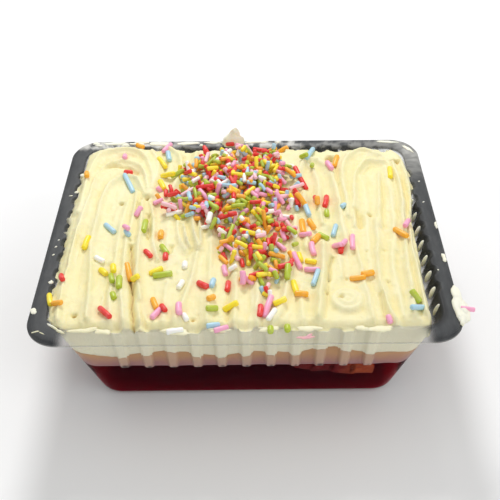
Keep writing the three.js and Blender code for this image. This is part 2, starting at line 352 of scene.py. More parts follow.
def cream_material():
    made = Material(
        "whipped_cream",
        {
            "Roughness": 0.5,
            "Specular IOR Level": 0.35,
            "Subsurface Weight": 0.12,
            "Subsurface Radius": (1.0, 0.7, 0.35),
            "Subsurface Scale": 0.002,
        },
    )
    shade = made.mix(made.scaled(made.noise(60), 0.35, 0.7), CREAM, CREAM_PALE)
    # Painted shade: tan in grooves, brown in the deepest creases and holes.
    groove_shade = made.attribute("groove_shade")
    shade = made.mix(made.scaled(groove_shade, 0.0, 0.6), shade, CREAM_GROOVE_SHADE)
    shade = made.mix(made.scaled(groove_shade, 0.65, 1.0), shade, CREAM_DEEP_SHADE)
    # Painted shade on the sides, whiter thin cream, and dye from the strands.
    layers = {"side_shade": CREAM_SIDE_SHADE, "thin": CREAM_WHITE, "pink": CREAM_PINK}
    layers.update({"stain_" + name: colour for name, colour in STAINS.items()})
    for name, colour in layers.items():
        shade = made.mix(made.attribute(name), shade, colour)
    made.drive("Base Color", shade)
    grain = made.noise(1100, 5, 0.7)
    drawn = made.noise(800, 2, 0.5, (1.0, 0.16, 1.0))
    made.bump(made.summed(drawn, 0.5, grain), 0.5, 0.0005)
    return made.data


CUSTARD_PINK = (0.33, 0.145, 0.15)  # next to the jelly
CUSTARD = (0.50, 0.265, 0.115)
CUSTARD_PIT = (0.42, 0.25, 0.14)
CUSTARD_FLUTE = (0.56, 0.41, 0.31)
# Painted shade of air pockets at the flutes' lower ends.
BUBBLE_SHADE = (0.05, 0.02, 0.022)


def custard_material():
    made = Material(
        "custard",
        {
            "Roughness": 0.35,
            "Subsurface Weight": 0.15,
            "Subsurface Radius": (1.0, 0.5, 0.25),
            "Subsurface Scale": 0.002,
        },
    )
    height = made.summed(made.noise(220, 4, 0.6), 0.006, made.axis("Z"))
    low = JELLY_TOP * MM + 0.0035
    body = made.mix(made.scaled(height, low, low + 0.0065), CUSTARD_PINK, CUSTARD)
    pits = made.noise(700, 3, 0.6)
    body = made.mix(made.scaled(pits, 0.62, 0.75), body, CUSTARD_PIT)
    pale = made.scaled(made.attribute("flute"), 0.0, 1.0, 0.0, 0.5)
    body = made.mix(pale, body, CUSTARD_FLUTE)
    # Air pockets painted dark: painted shade.
    made.drive("Base Color", made.mix(made.attribute("bubble_shade"), body, BUBBLE_SHADE))
    made.bump(pits, 0.2, 0.0004)
    return made.data


def jelly_material():
    values = {"Base Color": (0.75, 0.08, 0.15, 1), "Transmission Weight": 0.975}
    made = Material("red_jelly", {**values, "IOR": 1.04, "Specular IOR Level": 0.05})
    made.drive("Roughness", made.scaled(made.noise(90, 2), 0.3, 0.7, 0.04, 0.16))
    values = {"Color": (0.745, 0.02, 0.15, 1), "Density": 205.0}
    volume = made.node("VolumeAbsorption", values)
    made.link(volume.outputs[0], made.output.inputs["Volume"])
    return made.data


# Painted darkness: the flange's grey stands in for a dark surface seen through the clear sheet.
BACKDROP_DARK = (0.042, 0.045, 0.048)
# Painted reflection: lighter streaks on the flange's grey.
REFLECTION_STREAK_GREY = (0.080, 0.083, 0.085)
# Painted shade in the gap between the cream and the wall.
GAP_SHADE = (0.012, 0.012, 0.012)
# Cream smears, and a painted highlight along the flange's front edge.
SMEAR_AND_HIGHLIGHT_GREY = (0.64, 0.63, 0.59)


def plastic_material():
    """Clear formed sheet. On three sides the flange is painted dark, for a dark surface seen
    through it.
    """
    values = {"Base Color": (0.92, 0.94, 0.95, 1), "Metallic": 1.0, "Roughness": 0.06}
    made = Material("clear_plastic", values)
    clear = made.node("BsdfTransparent", {"Color": (0.982, 0.984, 0.978, 1)})
    facing = made.node("LayerWeight", {"Blend": 0.5}).outputs["Facing"]
    slope = made.fed("Math", facing, {1: 8.0}, operation="POWER")
    sheen = made.scaled(slope, 0.0, 1.0, 0.0006, 0.14)
    sheet = made.layered(sheen, clear.outputs[0], made.shader.outputs[0])

    # A grey shader for the painted darkness, the painted shade in the gap and the painted edge
    # highlight.
    shade_and_highlight = made.node("BsdfPrincipled", {"Roughness": 0.5, "Specular IOR Level": 0.2})
    # Painted reflection: lighter streaks across the grey.
    reflection_streaks = made.noise(260, 5, 0.65, (1.0, 0.35, 1.0))
    grey = made.ramp(reflection_streaks, (0.3, BACKDROP_DARK), (0.75, REFLECTION_STREAK_GREY))
    # Painted shade in the gap where the cream stops short of the wall.
    grey = made.mix(made.attribute("pit_shade"), grey, GAP_SHADE)
    # Pale grey for cream smears and for the painted highlight on the front edge.
    grey = made.mix(made.attribute("smear_and_highlight"), grey, SMEAR_AND_HIGHLIGHT_GREY)
    made.link(grey, shade_and_highlight.inputs["Base Color"])
    surface = made.layered(made.attribute("shade_and_highlight"), sheet, shade_and_highlight.outputs[0])
    made.link(surface, made.output.inputs["Surface"])
    return made.data


STRANDS = {
    "red": (0.79, 0.030, 0.022),
    "green": (0.46, 0.56, 0.035),
    "yellow": (0.97, 0.77, 0.025),
    "orange": (0.97, 0.44, 0.022),
    "pink": (0.92, 0.40, 0.58),
    "rose": (0.94, 0.56, 0.62),
    "blue": (0.42, 0.65, 0.77),
    "white": (0.95, 0.94, 0.88),
}


def strand_material(name):
    values = {"Roughness": 0.38, "Subsurface Weight": 0.08, "Subsurface Scale": 0.0008}
    made = Material("sugar_" + name, values)
    colour = STRANDS[name]
    pale = tuple(0.75 * c + 0.25 for c in colour)
    share = made.scaled(made.noise(500, 3, 0.6), 0.45, 0.8, 0.0, 0.5)
    made.drive("Base Color", made.mix(share, colour, pale))
    made.bump(made.noise(2500, 2), 0.15, 0.0001)
    return made.data


def sponge_material():
    """Darker and redder at the left, where there is more jelly in it."""
    made = Material("soaked_sponge", {"Roughness": 0.7, "Specular IOR Level": 0.1})
    crumb = made.noise(420, 5, 0.7)
    soaked = made.ramp(crumb, (0.3, (0.07, 0.004, 0.006)), (0.7, (0.15, 0.007, 0.009)))
    pale = made.ramp(crumb, (0.3, (0.17, 0.016, 0.009)), (0.7, (0.38, 0.075, 0.024)))
    along = made.scaled(made.axis("X"), 0.032, 0.039)
    made.drive("Base Color", made.mix(along, soaked, pale))
    made.bump(crumb, 0.6, 0.001)
    return made.data


# ---------------- the cream's strokes
# The cream was spread from front to back in ribbed lanes that turn round in loops at the back.
# Each stroke is half width, rise, and x, y, x, y and so on along its crest.
LEFT_LOOPS = [
    (5.0, 2.2, [-63, 8, -63, 38, -57, 49, -47, 50, -40, 42, -37, 30, -37, 17]),
    (3.4, 2.1, [-62, -51, -62.5, -20, -61, 12, -59.5, 30, -56, 39.5, -51, 42.3]),
    (3.0, 2.0, [-51, 42.3, -45, 40, -41, 33.5, -39, 25, -38.2, 16.5]),
    (2.6, 2.0, [-52, -50, -54.5, -30, -56, -5, -55.5, 12, -54, 25, -49.5, 31.8]),
    (2.2, 1.8, [-49.5, 31.8, -44, 30.5, -41.2, 25, -39.2, 17.5]),
    (3.6, 2.0, [-33, 53, -28.5, 47.5, -26.3, 39, -26.5, 30, -29, 20]),
    (2.6, 1.7, [-39, 50, -36.3, 43, -35.3, 33, -36.4, 21]),
]
LEFT_LEGS = [
    (2.6, 1.3, [-45.5, 14, -46.5, -8, -46, -30, -45, -52]),
    (2.4, 1.8, [-42.8, 20, -42.4, 4, -43.4, -12, -42.5, -32, -40.5, -53]),
    (2.6, 2.4, [-39.6, 13, -38.6, -6, -38.0, -25, -36.4, -40, -34.6, -54]),
    (1.8, 1.6, [-37, 15, -34.4, 4, -33.6, -8, -31, -20]),
    (4.5, 1.0, [-29, 6, -28, -22, -27, -50]),
    (2.0, 1.5, [-25.2, 2, -24.6, -7, -21.4, -15]),
    (2.4, 3.0, [-19.6, 3, -18.4, -7, -16.6, -15]),
    (1.3, 2.4, [-22.8, -1, -21.8, -8, -20.4, -13]),
    (1.2, 2.7, [-17.0, 2, -16.2, -7, -15.8, -14]),
    (2.8, 1.7, [-17, -17, -18.2, -27, -20.5, -40, -23.5, -53]),
    (4.0, 1.9, [-20.5, 47, -20.5, 36, -22, 24]),
]
MIDDLE = [
    (3.6, 1.3, [-13.5, 34, -12.5, 0, -12.8, -53]),
    (3.4, 1.4, [-6, 40, -3.5, 0, -3.8, -54]),
    (3.6, 1.4, [3, 42, 4.5, 0, 3.6, -54]),
    (3.6, 1.5, [11, 40, 11, 10, 9, -28]),
    (3.6, 2.3, [19, 4, 17.2, -14, 15, -29, 12.4, -44, 7.5, -55]),
    (3.2, 2.6, [28.2, -13, 27.4, -22, 25.8, -34, 24.3, -50]),
    (3.0, 1.3, [19.5, -34, 19, -53]),
    (3.4, 2.1, [18.5, 10, 19.5, 24, 22, 36, 25.5, 43, 30, 42.3]),
    (3.4, 2.3, [30, 42.3, 34, 35.5, 35.7, 25, 36, 8, 37, -14]),
    (2.8, 1.9, [24.5, 41, 28, 33.5, 29, 25, 28.4, 12, 28.6, 0]),
    (3.2, 1.9, [23, 20, 23.2, 12, 24, 0, 22, -14]),
]
RIGHT = [
    (3.4, 2.3, [39, 4, 38.7, 26, 40.4, 38, 44.5, 46, 49.5, 48.6, 55, 45]),
    (2.6, 2.0, [41, -2, 42.3, 14, 43.4, 27, 46.4, 35.5, 51, 41, 57, 40]),
    (2.0, 1.8, [50.2, -2, 51.6, 12, 53.0, 24, 54.2, 32.5]),
    (2.6, 1.1, [46.5, 30, 47, 10, 45, -12, 43.5, -30]),
    (2.8, 1.6, [57.3, 36, 57, 20, 55.5, 0, 54, -16]),
    (2.4, 2.2, [60.6, 40, 61.2, 24, 60.2, 10, 59, -6]),
    (2.2, 2.0, [64.4, 42, 65, 30, 64.4, 14, 63.2, 6]),
    (2.0, 1.5, [40, -4, 40.6, -22, 41, -34, 42.5, -52]),
    (2.4, 2.0, [49.4, 2, 48.6, -10, 47, -22, 46.1, -34, 47.6, -44, 50, -53]),
    (2.6, 1.5, [53, -12, 52.4, -30, 53, -50]),
    (2.6, 2.3, [58.6, -10, 57.3, -24, 57.4, -35, 55.8, -50]),
    (1.8, 2.2, [61, -4, 60.2, -22, 60.6, -38, 60, -49]),
    (2.2, 1.3, [33.5, -19, 33.2, -30]),
]
DAB = {"x": 34.4, "y": -41.5, "radius": 6.4, "rise": 1.7}  # a small round swirl at the front
STROKES = [
    (width, rise, smooth_line(points))
    for width, rise, points in LEFT_LOOPS + LEFT_LEGS + MIDDLE + RIGHT
]

CREASES = [  # half width, depth, and x, y, x, y and so on
    (0.55, 2.6, [-41.8, -12.5, -40.4, -22, -40.1, -30, -38.8, -38, -38.4, -45, -37, -53]),
    (0.6, 1.6, [30.9, -19, 29.2, -25, 28.6, -31]),
    (0.6, 0.8, [28.6, -31, 27.8, -38, 26.4, -50]),
    (0.6, 1.0, [37.2, 42, 37.3, 26, 37.6, 8]),
    (0.6, 1.7, [-36.4, 6, -36.2, 1, -35.4, -7]),
    (0.6, 1.2, [-41.2, 13, -41.0, 9]),
    (0.6, 1.4, [-36, -43, -35, -48, -33.2, -52]),
    (0.7, 1.3, [-26.9, -12, -27.4, -16]),
    (0.6, 1.2, [45.4, -39, 46.8, -49]),
    (0.55, 0.7, [54.6, 27, 53.2, 12, 51.6, -2]),
    (0.55, 0.8, [62.8, 27, 62.4, 14, 61.4, 2]),
    (1.2, 1.6, [42.6, 7.2, 43.4, 3.4, 43.2, -1]),
    (0.6, 1.2, [-32.6, 44, -32.8, 35]),
    (0.7, 1.0, [-6, -22, -6.2, -50]),
    (0.6, 1.1, [-25.4, 45, -24.6, 38]),
    (0.55, 1.1, [-59.4, 30, -57.6, 36, -54, 38.8, -49, 38.4, -44, 34]),
    (0.5, 0.9, [-48.6, -22, -47.4, -43]),
]
HOLES = [  # x, y, radius, depth
    (-48, 13.3, 0.9, 2.4),
    (47, 5, 0.9, 1.6),
    (32.3, -40.6, 0.9, 1.8),
    (-38, 15.4, 1.0, 1.6),
    (-57, -47.6, 0.9, 1.4),
    (27.6, -38, 0.6, 1.4),
    (43.7, -16.4, 0.5, 1.0),
    (50, -15.6, 0.5, 1.0),
    (49.6, -31.8, 0.5, 1.2),
    (35.3, -30.6, 0.5, 1.4),
    (-17.5, -49.6, 0.9, 0.9),
    (35.2, 44.5, 1.9, 3.2),
    (61.8, 41.6, 1.8, 3.2),
]


CELL = 0.35  # spacing of the height maps
GAP_DEPTH = 8.5  # how far the cream falls away where it stops short of the wall


def map_points():
    """The x and y of every cell of a map that covers the tub."""
    columns, rows = (int(2 * half / CELL) + 1 for half in FLANGE[:2])
    return np.meshgrid(np.arange(columns) * CELL - FLANGE[0], np.arange(rows) * CELL - FLANGE[1])


MAP_X, MAP_Y = map_points()


def patch_round(points, margin):
    """The part of a map within a margin of some points."""
    points = np.array(points, float)[:, :2]
    corner = np.array(FLANGE[:2])
    low = np.floor((points.min(0) - margin + corner) / CELL).astype(int)
    high = np.ceil((points.max(0) + margin + corner) / CELL).astype(int)
    low = np.maximum(low, 0)
    return slice(low[1], high[1] + 1), slice(low[0], high[0] + 1)


def sampled(values, x, y):
    """A map's values at any points, worked out between its cells."""
    column = np.clip((x + FLANGE[0]) / CELL, 0, values.shape[1] - 1.001)
    row = np.clip((y + FLANGE[1]) / CELL, 0, values.shape[0] - 1.001)
    i, j = column.astype(int), row.astype(int)
    a, b = column - i, row - j
    front = values[j, i] * (1 - a) + values[j, i + 1] * a
    back = values[j + 1, i] * (1 - a) + values[j + 1, i + 1] * a
    return front * (1 - b) + back * b


def blurred(values, radius):
    """A map smoothed over a radius."""
    count = int(2.5 * radius / CELL)
    weights = np.exp(-0.5 * (np.arange(-count, count + 1) * CELL / radius) ** 2)
    weights = weights / weights.sum()
    for axis in (0, 1):
        values = sum(w * np.roll(values, k - count, axis) for k, w in enumerate(weights))
    return values


def cream_relief():
    """Maps of the strokes' rise and of painted shade, 0 to 1, by how deep the creases and holes
    lie.
    """
    bent_x = MAP_X + 0.5 * noise(MAP_X / 9, MAP_Y / 13, 3) + 0.22 * noise(MAP_X / 3, MAP_Y / 4, 13)
    bent_y = MAP_Y + 0.5 * noise(MAP_X / 11, MAP_Y / 9, 4) + 0.22 * noise(MAP_X / 3, MAP_Y / 3, 14)
    union = np.zeros(MAP_X.shape)
    nearest = np.full(MAP_X.shape, 4.0)
    drag = np.zeros(MAP_X.shape)
    for k, (width, rise, line) in enumerate(STROKES):
        part = patch_round(line, 1.6 * width + 1.5)
        distance, across, along = line_distance(bent_x[part], bent_y[part], line)
        swell = 1 - np.clip(distance / (1.6 * width), 0, 1)
        crest = np.exp(-((distance / (0.32 * width)) ** 2))
        union[part] += (1.15 * rise * (0.6 * swell**1.6 + 0.4 * crest)) ** 3
        marks = 0.5 * noise(across * 0.9 + k * 7, along * 0.06, k)
        marks += 0.5 * noise(across * 1.7 + k * 3, along * 0.13, k + 50)
        drag[part] = np.where(distance < nearest[part], marks, drag[part])
        nearest[part] = np.minimum(nearest[part], distance)
    relief = union ** (1 / 3)

    from_dab = np.hypot(MAP_X - DAB["x"], MAP_Y - DAB["y"])
    swirl = 0.28 * np.cos(from_dab * 2 * math.pi / 2.4) - 0.02 * from_dab**2
    on_dab = 1 - step(from_dab, DAB["radius"] - 1.6, DAB["radius"] + 0.6)
    relief = relief * (1 - on_dab) + (DAB["rise"] + swirl) * on_dab
    relief = relief + 0.38 * drag * (1 - 0.8 * on_dab)

    # Painted shade, by how deep each crease and hole lies.
    deep_shade = np.zeros(MAP_X.shape)
    for width, depth, points in CREASES:
        line = smooth_line(points)
        part = patch_round(line, 3 * width + 1)
        distance = line_distance(bent_x[part], bent_y[part], line)[0]
        near = np.exp(-((distance / width) ** 2))
        relief[part] -= depth * near
        deep_shade[part] = np.maximum(deep_shade[part], near * min(depth, 2.2) / 2.2)
    for x, y, radius, depth in HOLES:
        near = np.exp(-((np.hypot(MAP_X - x, MAP_Y - y) / radius) ** 4))
        relief = relief - depth * near
        deep_shade = np.maximum(deep_shade, near)
    return relief, deep_shade


def wall_distance(x, y):
    """How far inside the tub's opening a point lies."""
    half_x, half_y, corner = RIM
    dx, dy = np.abs(x) - (half_x - corner), np.abs(y) - (half_y - corner)
    outside = np.hypot(np.maximum(dx, 0), np.maximum(dy, 0))
    return corner - outside - np.minimum(np.maximum(dx, dy), 0)


def beyond_edges(x, y):
    """How far the cream falls short of the tub's wall, 0 on the cream to 1 past its edge."""
    ragged = 0.8 * noise(x / 3.1, y / 3.1, 8) + 0.5 * noise(x / 1.3, y / 1.3, 9)
    edge = 62.3 + 2.0 * step(y, 2, 18) - 1.4 * step(-y, 8, 40) + 0.4 * ragged
    right = step(x, edge, edge + 2.2) * (1 - step(y, 12, 24))
    edge = 50.4 + 2.4 * np.exp(-(((x - 50) / 6.5) ** 2)) + 2.0 * ragged
    edge = edge + 1.0 * np.exp(-(((x - 24) / 8) ** 2))
    back = step(y, edge, edge + 2.4) * step(x, -27.5, -25.5)
    ys = [-52, -46, -42, -28, -20, 16, 20, 28, 46]
    edge = np.interp(y, ys, [62.6, 65.4, 66.2, 64.6, 66, 65.9, 64.2, 65, 65]) + 0.35 * ragged
    left = 0.12 * step(-x, edge, edge + 1.0) * step(y, -51, -45)
    return np.maximum(np.maximum(right, back), left)


def cream_maps():
    """Maps of the cream's height above the table and of painted shade, by how deep in a groove each
    cell lies.
    """
    relief, deep_shade = cream_relief()
    uneven = 0.5 * noise(MAP_X / 14, MAP_Y / 14, 5) + 0.26 * noise(MAP_X / 3.2, MAP_Y / 9, 6)
    uneven = uneven + 0.17 * noise(MAP_X / 1.5, MAP_Y / 2.2, 7) + 0.10 * noise(MAP_X, MAP_Y, 17)
    height = CREAM_BASE + relief + uneven
    # Painted shade where a cell lies lower than its surroundings.
    groove_shade = 0.55 * np.clip((blurred(height, 1.5) - height) / 0.75, 0, 1)
    groove_shade = groove_shade + 0.15 * np.clip(blurred(height, 4.0) - height, 0, 1)
    fall = 1.9 - 1.2 * step(-MAP_X, 56, 62)  # the cream rounds off at its edge, least at the left
    height = height - fall * np.clip(1 - wall_distance(MAP_X, MAP_Y) / 2.6, 0, 1) ** 2
    return height - GAP_DEPTH * beyond_edges(MAP_X, MAP_Y), np.maximum(groove_shade, deep_shade)


CREAM_HEIGHT, CREAM_GROOVE_SHADES = cream_maps()


# ---------------- the fillings
# Behind the front wall the custard's top is seen: distance along the wall, depth below the rim.
FRONT_X = [-60, -46, -36, -30, -27, -23, -15, -9, 1, 9, 17, 24, 30, 38, 43, 52, 60]
FRONT_DEPTH = [15.7, 18.2, 16.2, 15, 14.2, 15.3, 17, 18.3, 15.5]
FRONT_DEPTH += [16, 16.5, 13.6, 13, 16, 17, 17.2, 17.5]
# Sizes of the painted shade of the air pockets.
BUBBLE_SHADE_SIZES = (0.75, 0.4, 0.2, 0.2, 0.4, 0.35, 0.4, 0.3, 0.7, 0.25, 0.2)  # size in each front flute


def flute_share(x, y, z):
    """How far into a flute a point on the wall lies, from 0 to 1."""
    on_side = np.abs(x) - between(BASE[0], RIM[0], z) > np.abs(y) - between(BASE[1], RIM[1], z)
    s = np.where(on_side, y, x)
    last = np.where(on_side, FLUTES[1], FLUTES[0]) * PITCH / 2
    return flute_bulge(s, z) / FLUTE_DEPTH * (np.abs(s) < last)


def custard_height(x, y):
    """The custard's wavy top, which follows the photo behind the front wall."""
    waves = 1.9 * np.cos(2 * math.pi * (x - 1) / 28) + 0.9 * np.cos(2 * math.pi * (y + 6) / 23)
    front = HEIGHT - np.interp(x, FRONT_X, FRONT_DEPTH)
    small = 0.35 * noise(x / 4.2, y / 4.2, 21) + 0.2 * noise(x / 1.6, y / 1.6, 22)
    in_flute = flute_share(x, y, CUSTARD_MEAN) * 1.1 * noise(np.round(x / PITCH) * 1.7, y / 40, 23)
    share = step(-y, 30, 46)
    return (CUSTARD_MEAN + waves) * (1 - share) + front * share + small + in_flute


def build_jelly(material):
    spacing = 0.6
    grow = SINK - 0.05
    floor = SHEET - SINK
    rings = []
    for swing in quarter(6):
        z = floor + BASE_EDGE * (1 - math.cos(swing))
        pull = BASE_EDGE * (1 - math.sin(swing))
        rings.append(raised(wall_outline(z, grow - pull, spacing), z))
    levels = [*np.linspace(floor + BASE_EDGE, FLUTE_BOTTOM, 6)[1:]]
    levels += [*np.linspace(FLUTE_BOTTOM, JELLY_TOP + 0.15, 6)[1:]]
    rings += [raised(wall_outline(z, grow, spacing), z) for z in levels]
    make_piece("jelly_body", loft(rings), material, "jelly")


def bubble_shade_spots(x, y, z):
    """Painted shade: dark spots for air pockets just above the lower ends of the front flutes."""
    bubble_shade = np.zeros(len(x))
    for k, size in zip(range(-5, 6), BUBBLE_SHADE_SIZES):
        across = (x - k * PITCH - 0.3) / (1.6 * size)
        up = (z - FLUTE_BOTTOM - 2.5) / (1.4 * size)
        bubble_shade = np.maximum(bubble_shade, np.exp(-(across**2) - up**2))
    return np.clip(1.6 * bubble_shade * (y < 0) * (bubble_shade > 0.2), 0, 1)


def build_custard(material):
    spacing = 0.45
    x, y = wall_outline(JELLY_TOP, SINK, spacing).T
    uneven = 0.35 * noise(x / 5, y / 5, 31)
    low = JELLY_TOP - 0.3 + uneven - 1.3 * flute_share(x, y, JELLY_TOP)
    high = custard_height(*wall_outline(CUSTARD_MEAN, SINK, spacing).T)
    rings = [raised(wall_outline(JELLY_TOP, -3, spacing, 0), JELLY_TOP - 0.3)]
    for share in np.linspace(0, 1, 26):
        rings.append(wall_ring(low + (high - low) * share, SINK, spacing))
    for pull in (3, 9):
        rings.append(raised(wall_outline(CUSTARD_MEAN, -pull, spacing, 0), CUSTARD_MEAN))
    skin = loft(rings)
    x, y, z = skin[0].T
    colours = {"flute": flute_share(x, y, z), "bubble_shade": bubble_shade_spots(x, y, z)}
    make_piece("custard_layer", skin, material, "custard", colours)


def inwards(points):
    """The direction from each point near the wall to the inside of the tub."""
    off = np.sign(points) * np.maximum(np.abs(points) - np.array(RIM[:2]) + RIM[2], 0)
    return -off / np.maximum(np.linalg.norm(off, axis=1), 1e-6)[:, None]


def cream_rings(spacing):
    """The cream's top as rings from the rim inwards: x and y, height, painted shade from groove
    depth.
    """
    rings = []
    for inset in [*np.arange(0, 6, 0.35), *np.arange(6, RIM[1] - 0.6, 0.6)]:
        sizes = [RIM[0] - inset, RIM[1] - inset, max(RIM[2] - inset, 0.4)]
        ring = outline(sizes, spacing, HEIGHT, 1 - step(inset, 0, 2.5))
        height, groove_shade = (sampled(values, *ring.T) for values in (CREAM_HEIGHT, CREAM_GROOVE_SHADES))
        pull = np.maximum(DRAFT * (HEIGHT - height) - 0.7 * inset, 0)  # follows the wall down
        rings.append((ring + inwards(ring) * pull[:, None], height, groove_shade))
    return rings


def rim_spill(x, y, height):
    """How far the cream spills on to the flange, over the front and left edges."""
    over_edge = np.maximum(step(-y, 45, 52), step(-x, 60, 64) * (1 - step(y, 44, 50)))
    ragged = noise((x + y) / 3.4, (x - y) / 9, 41) + 0.5 * noise((x + y) / 1.5, (x - y) / 9, 42)
    return np.clip((1.0 + ragged) * over_edge, 0, 3) * (height > HEIGHT - 0.5)


def stained(points, stains):
    """How strongly sugar strands have coloured each point of the cream."""
    shade = np.zeros(len(points))
    for x, y, size, strength in stains:
        distance = np.hypot(points[:, 0] - x, points[:, 1] - y)
        shade = np.maximum(shade, strength * np.exp(-((distance / size) ** 2)))
    return shade * (points[:, 2] > HEIGHT - 4)


def build_cream(material, stains):
    spacing = 0.55
    top = cream_rings(spacing)
    rim, height, _ = top[0]
    x, y = rim.T
    near_edge = step(np.abs(rim), np.array(RIM[:2]) - 3.5, np.array(RIM[:2]) - 0.5)
    spill = np.sign(rim) * near_edge * rim_spill(x, y, height)[:, None]
    edge_height = np.where(height > HEIGHT, HEIGHT + 0.06, height)
    level = np.minimum(edge_height, HEIGHT - 0.1)
    custard = custard_height(x, y) - 0.4

    under = [raised(wall_outline(CUSTARD_MEAN, -4, spacing, 0), CUSTARD_MEAN - 3)]
    for share in np.linspace(1, 0, 12):
        under.append(wall_ring(level + (custard - level) * share, SINK - 0.02, spacing))
    under.append(raised(rim + spill * 0.9, edge_height))
    under.append(raised(rim + spill, np.maximum(edge_height, height - 0.8)))
    skin = loft(under + [raised(ring, high) for ring, high, _ in top[1:]])
    points = skin[0]
    # Painted groove shade on the top only, none on the sides.
    groove_shade = np.zeros(len(points))
    start = len(under) * len(rim)
    groove_shades = np.concatenate([values for _, _, values in top[1:]])
    groove_shade[start : start + len(groove_shades)] = groove_shades
    on_wall = np.arange(len(points)) < start
    # Painted shade on the cream's sides against the wall, below its top.
    side_shade = 0.95 * on_wall * step(HEIGHT + 0.3 - points[:, 2], 0, 0.4)
    colours = {"groove_shade": groove_shade, "side_shade": side_shade}
    for name in STAINS:
        colours["stain_" + name] = stained(points, stains[name])
    make_piece("cream_top", skin, material, "cream", colours)


# ---------------- the tub
def tub_skin(grow, floor, flange_top):
    """One side of the sheet, as rings from the middle of the base out to the flange's edge."""
    spacing = 0.7
    flute_top = FLUTE_BOTTOM + FLUTE_END
    bend = HEIGHT - RIM_BEND
    levels = [*np.linspace(BASE_EDGE, FLUTE_BOTTOM, 6)[1:-1]]
    levels += [*np.linspace(FLUTE_BOTTOM, flute_top, 9), *np.linspace(flute_top, bend, 6)[1:]]
    edge = BASE_EDGE + grow - SHEET
    rings = []
    for swing in quarter(6):
        z = floor + (BASE_EDGE - floor) * (1 - math.cos(swing))
        rings.append(raised(wall_outline(z, grow - edge * (1 - math.sin(swing)), spacing), z))
    rings += [raised(wall_outline(z, grow, spacing), z) for z in levels]
    for swing in quarter(6)[1:]:
        z = bend + (flange_top - bend) * math.sin(swing)
        rings.append(raised(wall_outline(z, grow + 1 - math.cos(swing), spacing), z))
    inner = rings[-1][:, :2]
    outer = outline([size - FLANGE_EDGE for size in FLANGE], spacing)
    for share in (0.3, 0.65, 1.0):
        rings.append(raised(inner + (outer - inner) * share, flange_top))
    for swing in quarter(5)[1:]:
        out = (FLANGE_EDGE - (SHEET - grow) - 0.1) * math.sin(swing)
        z = flange_top - (FLANGE_EDGE - grow) * (1 - math.cos(swing))
        rings.append(raised(outline([size - FLANGE_EDGE + out for size in FLANGE], spacing), z))
    if grow:
        last = rings[-1][:, :2]
        return [*rings, raised(last, HEIGHT - SHEET - LIP)]
    last = outline(FLANGE, spacing)
    return [*rings[:-1], raised(last, HEIGHT - FLANGE_EDGE), raised(last, HEIGHT - SHEET - LIP)]


def tub_colours(x, y, z):
    """Where the sheet gets painted darkness on the flange, cream smears, painted shade in the gap,
    and a painted highlight.
    """
    beyond = -wall_distance(x, y)
    on_top = z > HEIGHT - 1
    on_flange = step(beyond, -0.2, 0.6) * step(z, HEIGHT - 3.2, HEIGHT - 1.0)
    front_strip = step(-y, 50.5, 53.5) * (1 - step(np.abs(x), 58, 63))
    # Painted shade on the wall where the cream stops short of it.
    in_gap = step(z, HEIGHT - 9, HEIGHT - 5) * (1 - step(beyond, 1.0, 2.0))
    in_gap = in_gap * step(beyond_edges(x, y), 0.3, 0.8)
    # Painted darkness on the flange, except its front strip, and painted shade in the gap.
    shade_and_highlight = 0.9 * np.maximum(on_flange * (1 - front_strip), in_gap)
    # Painted highlight: a pale line along the turned-down edge at the front.
    edge = (z < HEIGHT - 1.8) * (beyond > 4) * (1 - shade_and_highlight)  # the turned-down edge at the front
    patches = noise(x / 2.4, y / 1.6, 61) + 0.6 * noise(x / 0.9, y / 0.8, 62)
    thick = step(-x, 25, 35) + step(x, -14, -8) * (1 - step(x, 18, 26))
    at_back = step(y, 52, 54.5) * on_top * step(patches, -0.6, 0.5) * (0.35 + 0.65 * thick)
    haze = step(x, 52, 68) * step(y, 26, 46) * on_top * (0.4 + 0.25 * patches)
    smear_and_highlight = np.maximum(at_back, np.clip(haze, 0, 0.7) * (beyond > 0.3))
    return {
        "shade_and_highlight": np.maximum(shade_and_highlight, 0.35 * edge),
        "smear_and_highlight": np.maximum(smear_and_highlight, edge),
        "pit_shade": 0.85 * in_gap,
    }


def build_tub(material):
    outside = tub_skin(SHEET, 0.0, HEIGHT - SHEET)
    inside = tub_skin(0.0, SHEET, HEIGHT)
    skin = loft(outside + inside[::-1])
    make_piece("clear_tub", skin, material, "tub", tub_colours(*skin[0].T))


# ---------------- cream on the flange
# The smear dyed pink by a strand; the first row is its middle. As for the flange's smears:
# x, y, half length, half width, half height, direction in degrees.
PINK_SMEARS = [(19.2, -58.4, 2.6, 0.6, 0.25, 6), (20.7, -57.6, 1.4, 0.5, 0.4, 35)]

# Flaps of cream that hang over the front edge: x, y, half length, half width, direction.
FRONT_FLAPS = [
    (-24.2, -55.3, 4.6, 1.3, -4),
    (-52.5, -54.3, 4.2, 1.1, 3),
    (-47.0, -54.9, 3.0, 1.0, -6),
    (-8.5, -54.8, 4.0, 0.9, 0),
    (7.5, -54.6, 3.2, 1.0, 4),
    (20.5, -54.6, 3.6, 0.9, 0),
    (44.8, -55.1, 5.0, 1.4, 5),
    (38.0, -54.6, 2.4, 1.0, -10),
]

